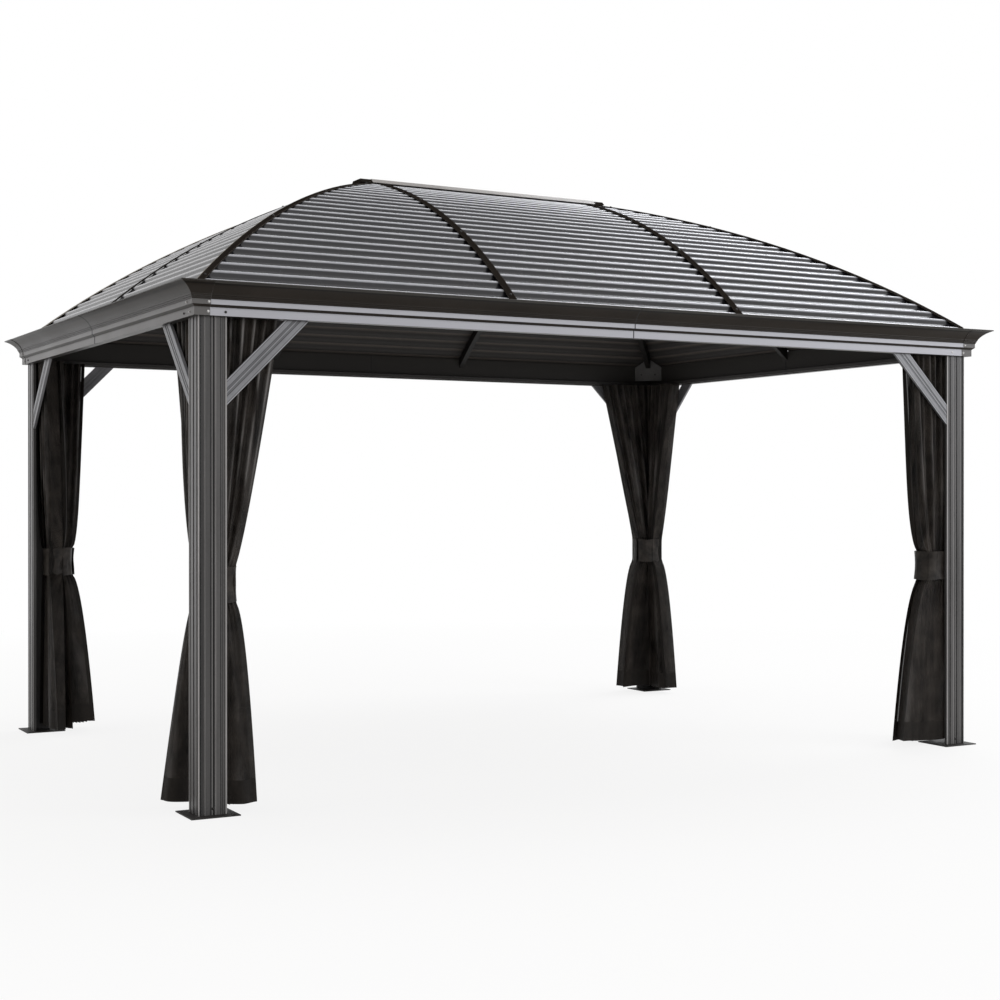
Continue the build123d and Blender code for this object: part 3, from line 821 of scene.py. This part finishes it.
feed(
    screw_zinc,
    {
        "Base Color": tarnish.blend((0.22, 0.21, 0.20, 1), (0.5, 0.49, 0.48, 1)),
        "Metallic": 0.6 + tarnish * 0.4,
        "Roughness": 0.3 + tarnish * 0.3,
    },
)
places, normals, zinc = (np.array(column) for column in zip(*screws))
for name, chosen, finish in (("zinc_screws", zinc, screw_zinc), ("dark_screws", ~zinc, plate_black)):
    points, faces = screw_heads(places[chosen], normals[chosen])
    add_piece(name, points, faces, finish, smooth=30)

# Curtains: black netting with a plain woven hem, two panels to a corner, hung from the rails.
# Each is as wide as half its side. It is folded into three, with its middle in close pleats between
# two smoother layers, and tied back at waist height.
curtain_near = 0.022
curtain_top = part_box("curtain_front_left")[1][2]
curtain_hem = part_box("curtain_front_left")[0][2]
tie_low, tie_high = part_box("curtain_ties")[0][2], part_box("curtain_ties")[1][2]
curtain_length = curtain_top - curtain_hem
long_panel_width = 1.92
short_panel_width = 1.31
long_pleats = 14.5
short_pleats = 9.5
half_deep = 0.050
layer_inset = 0.010
hem_lift = 0.010
hem_uneven = 0.006
fine_fold = 0.0115
broad_fold = 0.011
bell_fold = 0.014
tie_fold = 0.0028
rows_a_panel = 96
layer_points = 72
points_a_pleat = 10
net_pitch = 0.0017
hem_band = 0.095
binding = 0.022

curtain_cloth, place = new_finish(
    "curtain_cloth", {"Sheen Weight": 0.02, "Sheen Roughness": 0.4, "Specular IOR Level": 0.08}
)
cloth = place.node("ShaderNodeUVMap", {"uv_map": "cloth"}, {})
across, down = cloth.part("X"), cloth.part("Y")
net = ((across * (2 * np.pi / net_pitch)).wave() * (down * (2 * np.pi / net_pitch)).wave() + 1) * 0.5
width = cloth.node("ShaderNodeAttribute", {"attribute_name": "panel_width"}, {}, output="Fac")
woven = ((down < hem_band) + (across < binding) + (width - across < binding)).kept()
crumple = cloth.noise(9.0, 5.0, 0.62)
fuzz = cloth.noise(70.0, 3.0)
moire = (cloth.noise(330.0, 2.0) - 0.5) * cloth.stretched(1, 0.12, 1).noise(16.0, 2.0)
# Painted sheen: streaks drawn down the cloth, with the crumple and the moire, lighten and darken its
# colour.
sheen_streaks = cloth.stretched(1, 0.14, 1).noise(12.0, 4.0, 0.6)
painted_sheen = ((sheen_streaks - 0.5) * 1.7 + (crumple - 0.5) * 0.9 + 0.30 + moire * 1.2).kept()
thread = painted_sheen.blend((0.0026, 0.0019, 0.0014, 1), (0.058, 0.049, 0.042, 1))
speckle = ((cloth.noise(260.0, 2.0) - 0.60) * 9.0 * ((crumple - 0.45) * 4.0).kept()).kept()
thread = speckle.blend(thread, (0.085, 0.072, 0.062, 1))
# Painted highlights along the fold ridges, read from each panel and broken up, lighten the netting.
fold_highlight = cloth.node("ShaderNodeAttribute", {"attribute_name": "fold_highlight"}, {}, output="Fac")
broken = ((cloth.stretched(1, 0.3, 1).noise(11.0, 3.0) - 0.42) * 5.0).kept()
shimmer = (fold_highlight * broken * (0.6 + moire * 3.0)).kept()
thread = shimmer.blend(thread, (0.30, 0.285, 0.275, 1))
plain = painted_sheen.blend((0.006, 0.0048, 0.0039, 1), (0.028, 0.0235, 0.020, 1))
feed(
    curtain_cloth,
    {
        "Base Color": woven.blend(thread, plain),
        "Roughness": 0.34 + crumple * 0.25,
        "Alpha": (0.84 + net * 0.14 + woven).kept(),
        "Normal": cloth.node(
            "ShaderNodeBump",
            {},
            {"Strength": 0.7, "Distance": 0.010, "Height": crumple * 0.9 + fuzz * 0.08 + net * 0.03},
        ),
    },
)


def ripple(seed, across, down):
    """Gentle unevenness: four sines of mixed pitch and slant added, about -1 to 1."""
    draw = np.random.default_rng(seed)
    pitch = draw.uniform(2.0, 9.0, 4)
    slant = draw.uniform(-3.0, 3.0, 4)
    start = draw.uniform(0, 2 * np.pi, 4)
    waves = np.sin(across[..., None] * pitch + down[..., None] * slant + start)
    return waves.sum(axis=-1) / 2.4


def drawn_in(up, top, tie, hem, fullness):
    """A size that is full at the rail, drawn in to the tie, and flares again below it."""
    above = np.clip((up - tie_high) / (curtain_top - tie_high), 0, 1)
    below = np.clip((tie_low - up) / (tie_low - curtain_hem), 0, 1)
    return tie + (top - tie) * above**fullness + (hem - tie) * below**0.55


def panel_points(width, pleats, starts, reaches, fullness, glint, lean, seed):
    """Folded cloth as (along its rail, in from the posts, up), a grid of place across and height.

    A row runs out along the front, back through the pleats, and out again along the room side. The
    two layers wave gently, in folds that merge lower down. The pleats are in = depth cos(turns),
    and their depth is scaled until the row is as long as the cloth is wide. Below the tie the free
    edge may lean out past the posts, and at the tie the whole panel may be drawn towards the room.
    """
    columns = 2 * layer_points + int(pleats * points_a_pleat)
    fall = np.linspace(0, 1, rows_a_panel)[:, None] * np.ones((1, columns))
    spread = np.linspace(0, 1, columns)[None] * np.ones((rows_a_panel, 1))
    uneven = hem_uneven * ripple(seed + 3, spread * 2.5, fall)
    up = curtain_top - fall * (curtain_length - hem_lift - uneven)
    start = drawn_in(up, *starts, fullness)
    reach = drawn_in(up, *reaches, fullness)
    out = np.linspace(0, 1, layer_points)
    back = np.linspace(0, 1, columns - 2 * layer_points)
    share = np.concatenate([out, 0.97 - 0.94 * back, out])[None] * np.ones((rows_a_panel, 1))
    front = np.zeros(columns, dtype=bool)
    front[:layer_points] = True
    room = np.zeros(columns, dtype=bool)
    room[-layer_points:] = True
    above = np.clip((up - tie_high) / (curtain_top - tie_high), 0, 1)
    below = np.clip((tie_low - up) / (tie_low - curtain_hem), 0, 1)
    fine = np.sin(2 * np.pi * 0.5 * pleats * share + 0.8 * ripple(seed, share * 2, fall * 2))
    wander = 1.1 * ripple(seed + 1, share * 1.5, fall * 2)
    broad = np.sin(2 * np.pi * 0.24 * pleats * share + wander + seed)
    bell = np.sin(2 * np.pi * 1.2 * share + 0.9 * ripple(seed + 2, share, fall * 1.5) + seed)
    midway = np.sin(np.pi * above**0.6)
    sway = fine_fold * above**0.8 * fine + broad_fold * midway * broad + bell_fold * below**0.8 * bell
    gathered = np.exp(-(((up - (tie_low + tie_high) / 2) / 0.15) ** 2))
    near_tie = np.exp(-np.abs(up - (tie_low + tie_high) / 2) / 0.20)
    sway = sway + tie_fold * near_tie * np.sin(2 * np.pi * 0.62 * pleats * share + seed)
    spare = half_deep - 0.004 * gathered
    level = np.where(front, -spare + layer_inset, np.where(room, spare - layer_inset, 0.0))
    along = start + (reach - start) * share
    turns = np.cos(2 * np.pi * pleats * np.concatenate([0 * out, back, 0 * out]))
    pleated = ~(front | room)
    depth = np.full((rows_a_panel, 1), 0.02)
    for _ in range(9):
        inward = np.where(pleated, -depth * turns, level + sway)
        steps = np.hypot(np.diff(along, axis=1), np.diff(inward, axis=1))
        folded = (steps * pleated[1:]).sum(axis=1, keepdims=True)
        depth = depth * np.clip((width - steps.sum(axis=1, keepdims=True) + folded) / folded, 0.5, 2)
    inward = np.where(pleated, -depth * turns, level + sway) + half_deep
    lean_out, drawn = lean
    inward = inward - lean_out * below**0.9 * share**1.2 + drawn_in(up, 0, drawn, 0.7 * drawn, 1.0)
    steps = np.hypot(np.diff(along, axis=1), np.diff(inward, axis=1))
    woven_at = np.concatenate([np.zeros((rows_a_panel, 1)), steps.cumsum(axis=1)], axis=1)
    # Painted highlights: thin on the pleats' ridges above the tie and soft on the broad folds and the
    # bell, on the side that faces out.
    outer = np.where(front, -1, room)
    soft_fold_highlight = np.clip(broad * outer, 0, 1) ** 2 * midway + np.clip(bell * outer, 0, 1) ** 2 * below**0.5
    fold_highlight = glint * np.clip(fine * outer, 0, 1) ** 5 * above**0.7 + 0.26 * soft_fold_highlight
    return along, inward, up, woven_at, fold_highlight


def add_panel(name, corner, long_side, reaches, fullness, glint, lean, seed):
    """One gathered panel at a corner, along its long rail or its short one."""
    sign_x, sign_y = corner_signs[corner]
    if long_side:
        width, pleats = long_panel_width, long_pleats
        starts = (0.004, 0.010 + lean[1], 0.004 + 0.7 * lean[1])
        lean = (0.0, 0.0)
    else:
        width, pleats = short_panel_width, short_pleats
        starts = (0.104, 0.098, 0.104)
    along, inward, up, woven_at, fold_highlight = panel_points(
        width, pleats, starts, reaches, fullness, glint, lean, seed
    )
    first, second = (along, inward) if long_side else (inward, along)
    x = sign_x * (half_x - curtain_near - first)
    y = sign_y * (half_y - curtain_near - second)
    points = np.stack([x, y, up], axis=-1)
    uv = np.stack([woven_at, up - up[-1:]], axis=-1)
    turned = (sign_x * sign_y > 0) == long_side
    faces = grid_faces(*up.shape, turned=turned)
    panel = add_piece(name, points, faces, curtain_cloth, uv, smooth=80)
    widths = panel.data.attributes.new("panel_width", "FLOAT", "POINT")
    widths.data.foreach_set("value", np.full(up.size, width, dtype=np.float32))
    glints = panel.data.attributes.new("fold_highlight", "FLOAT", "POINT")
    glints.data.foreach_set("value", fold_highlight.astype(np.float32).ravel())
    return panel


# How far each corner's long and short panels reach at the rail, the tie and the hem, then how soon
# they are drawn in, how strong the painted highlights on their folds are, how far the short one leans
# out at its hem, and how far the tie stands along the long side from its usual place
panel_reaches = {
    "front_left": ((0.338, 0.144, 0.240), (0.365, 0.152, 0.250), 0.80, 1.0, 0.105, 0.0),
    "front_right": ((0.290, 0.189, 0.370), (0.266, 0.152, 0.300), 0.42, 0.2, 0.0, 0.045),
    "back_left": ((0.255, 0.188, 0.310), (0.266, 0.152, 0.330), 0.42, 0.2, 0.0, 0.038),
    "back_right": ((0.390, 0.150, 0.270), (0.330, 0.152, 0.300), 1.00, 0.2, 0.0, 0.0),
}
for number, (corner, shape) in enumerate(panel_reaches.items()):
    long_reaches, short_reaches, fullness, glint, *lean = shape
    for long_side, word in ((True, "long"), (False, "short")):
        seed = 10 * number + (0 if long_side else 5)
        reaches = long_reaches if long_side else short_reaches
        panel = add_panel(
            f"curtain_{word}_panel_{corner}", corner, long_side, reaches, fullness, glint, lean, seed
        )
        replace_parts(panel, f"curtain_{corner}")

# Curtain ties: bands of plain woven black cloth, doubled, with no netting in them.
# Each is wrapped round its pair of panels at waist height, and its end laps over its start.
tie_points = 96
tie_rows = 13
tie_middle = curtain_near + 0.077
tie_radius = 0.0785
tie_square = 2.9
tie_wall = 0.0016
lap_from = 0.86
weave_turns = 3600
tie_cloth, place = new_finish(
    "tie_cloth", {"Sheen Weight": 0.03, "Sheen Roughness": 0.4, "Specular IOR Level": 0.14}
)
cloth = place.node("ShaderNodeUVMap", {"uv_map": "cloth"}, {})
crumple = cloth.noise(14.0, 4.0, 0.6)
weave = ((cloth.part("X") * weave_turns).wave() * (cloth.part("Y") * weave_turns).wave() + 1) * 0.5
creased = ((crumple - 0.5) * 3.0 + 0.45).kept()
feed(
    tie_cloth,
    {
        "Base Color": creased.blend((0.006, 0.0046, 0.0037, 1), (0.040, 0.034, 0.029, 1)),
        "Roughness": 0.38 + crumple * 0.25,
        "Normal": cloth.node(
            "ShaderNodeBump", {}, {"Strength": 0.4, "Distance": 0.004, "Height": crumple + weave * 0.05}
        ),
    },
)


def tie_band(name, corner, seed):
    """A rounded square loop round the tie, past its own start by a lap that stands a little off.

    The loop's radius in direction a is r = size / (|cos a|**p + |sin a|**p) ** (1 / p).
    """
    sign_x, sign_y = corner_signs[corner]
    shift = panel_reaches[corner][-1]
    turn, fall = np.meshgrid(np.linspace(0, 1, tie_points), np.linspace(0, 1, tie_rows))
    angle = np.radians(-40) + turn * np.radians(400)
    square = np.abs(np.cos(angle)) ** tie_square + np.abs(np.sin(angle)) ** tie_square
    inner_corner = np.exp(-((np.angle(np.exp(1j * (angle - np.radians(45)))) / 0.7) ** 2))
    lapped = np.clip((turn - lap_from) / (1 - lap_from), 0, 1)
    radius = tie_radius * square ** (-1 / tie_square) * (1 - 0.15 * inner_corner)
    radius = radius + 0.0035 * (turn > 0.82) + 0.010 * lapped**2
    radius = radius + 0.0020 * ripple(seed, angle * 1.3, fall * 3) - 0.004 * np.sin(np.pi * fall)
    up = tie_high - fall * (tie_high - tie_low) + 0.003 * ripple(seed + 1, angle * 0.5, fall)
    x = tie_middle + shift + radius * np.cos(angle)
    y = tie_middle + radius * np.sin(angle)
    points = np.stack([sign_x * (half_x - x), sign_y * (half_y - y), up], axis=-1)
    steps = np.linalg.norm(np.diff(points, axis=1), axis=2).cumsum(axis=1)
    lengths = np.concatenate([np.zeros((tie_rows, 1)), steps], axis=1)
    uv = np.stack([lengths, up - tie_low], axis=-1)
    faces = grid_faces(tie_rows, tie_points, turned=sign_x * sign_y > 0)
    band = add_piece(name, points, faces, tie_cloth, uv, smooth=80)
    wall = band.modifiers.new("wall", "SOLIDIFY")
    wall.thickness = tie_wall
    wall.offset = 0
    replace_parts(band, "curtain_ties")


for number, corner in enumerate(corner_signs):
    tie_band(f"tie_{corner}", corner, 60 + 7 * number)

# Studio: a pale floor, which the camera sees as white apart from a faint shadow, and a white sky.
# Soft lamps stand all round, and the camera is where the parallel edges of the gazebo place it.
floor_half = 60
floor_signs = np.array([(-1, -1, 0), (1, -1, 0), (1, 1, 0), (-1, 1, 0)])
floor_mesh = bpy.data.meshes.new("floor")
floor_mesh.from_pydata((floor_half * floor_signs).tolist(), [], [(0, 1, 2, 3)])
floor = bpy.data.objects.new("floor", floor_mesh)
bpy.context.collection.objects.link(floor)


def seen_rays(start):
    """1 for rays that come from the camera, straight or by way of gloss or glass, and 0 for the rest."""
    rays = start.node("ShaderNodeLightPath", {}, {}, output="Is Camera Ray")
    for kind in ("Is Glossy Ray", "Is Transmission Ray"):
        rays = rays + start.node("ShaderNodeLightPath", {}, {}, output=kind)
    return rays.kept()


fade_from, fade_to = 2.5, 8.0
shadow_share = 0.16
paving, place = new_finish("pale_floor", {"Base Color": (0.8, 0.78, 0.76, 1), "Roughness": 0.9})
start = Socket(paving.node_tree)
distance = place.node("ShaderNodeVectorMath", {"operation": "LENGTH"}, {0: place}, output="Value")
far_off = ((distance - fade_from) * (1 / (fade_to - fade_from))).kept()
white = start.node(
    "ShaderNodeEmission", {}, {"Color": (1, 1, 1, 1), "Strength": 1.0}, output="Emission"
)
lit = Socket(paving.node_tree, paving.node_tree.nodes["Principled BSDF"].outputs[0])
whitened = seen_rays(start) * (1 - shadow_share + far_off * shadow_share)
mixed = start.node("ShaderNodeMixShader", {}, {0: whitened, 1: lit, 2: white})
paving.node_tree.links.new(mixed.output, paving.node_tree.nodes["Material Output"].inputs["Surface"])
floor_mesh.materials.append(paving)

world = bpy.data.worlds.new("studio")
world.use_nodes = True
bpy.context.scene.world = world
start = Socket(world.node_tree)
sky = world.node_tree.nodes["Background"]
sky.inputs["Color"].default_value = (1, 1, 1, 1)
ambient = 0.45
strength = ambient + seen_rays(start) * (1 - ambient)
world.node_tree.links.new(strength.output, sky.inputs["Strength"])


def softbox(name, place, aim, wide, tall, power, colour):
    """Rectangular lamp that faces a point."""
    lamp = bpy.data.lights.new(name, "AREA")
    lamp.shape = "RECTANGLE"
    lamp.size = wide
    lamp.size_y = tall
    lamp.energy = power
    lamp.color = colour
    box = bpy.data.objects.new(name, lamp)
    bpy.context.collection.objects.link(box)
    box.location = place
    box.rotation_euler = (Vector(aim) - Vector(place)).to_track_quat("-Z", "Y").to_euler()
    box.visible_camera = False


softbox("left_softbox", (-8.0, 0.5, 3.2), (0, 0, 1.6), 4.0, 4.0, 90.0, (1.0, 0.96, 0.92))
softbox("back_left_softbox", (-4.5, 7.0, 1.8), (-2.0, -1.4, 1.2), 3.0, 4.0, 35.0, (0.94, 0.95, 1.0))
softbox("back_softbox", (3.95, 4.75, 8.3), (0.0, -0.6, 2.5), 5.0, 5.0, 150.0, (0.94, 0.96, 1.0))
softbox("right_softbox", (6.6, 1.6, 8.2), (1.5, -0.8, 2.4), 4.5, 4.5, 450.0, (0.93, 0.95, 1.0))
softbox("front_right_softbox", (5.2, -5.3, 2.6), (2.0, -1.5, 2.0), 2.5, 2.5, 60.0, (0.92, 0.95, 1.0))
softbox("front_strip", (6.4, -9.4, 3.9), (0.9, -1.5, 2.0), 10.0, 2.4, 325.0, (0.94, 0.96, 1.0))
softbox("front_softbox", (-1.0, -10.0, 4.0), (0, 0, 1.3), 5.0, 5.0, 120.0, (1.0, 1.0, 1.0))

lens = bpy.data.cameras.new("photo_camera")
lens.sensor_width = 36.0
lens.lens = 60.27
lens.clip_end = 200.0
camera = bpy.data.objects.new("photo_camera", lens)
bpy.context.collection.objects.link(camera)
camera.location = (-4.1723, -7.7666, 1.2693)
camera.rotation_euler = np.radians((90 - 0.155, 0.0, -28.86))
bpy.context.scene.camera = camera
bpy.context.scene.view_settings.view_transform = "Standard"
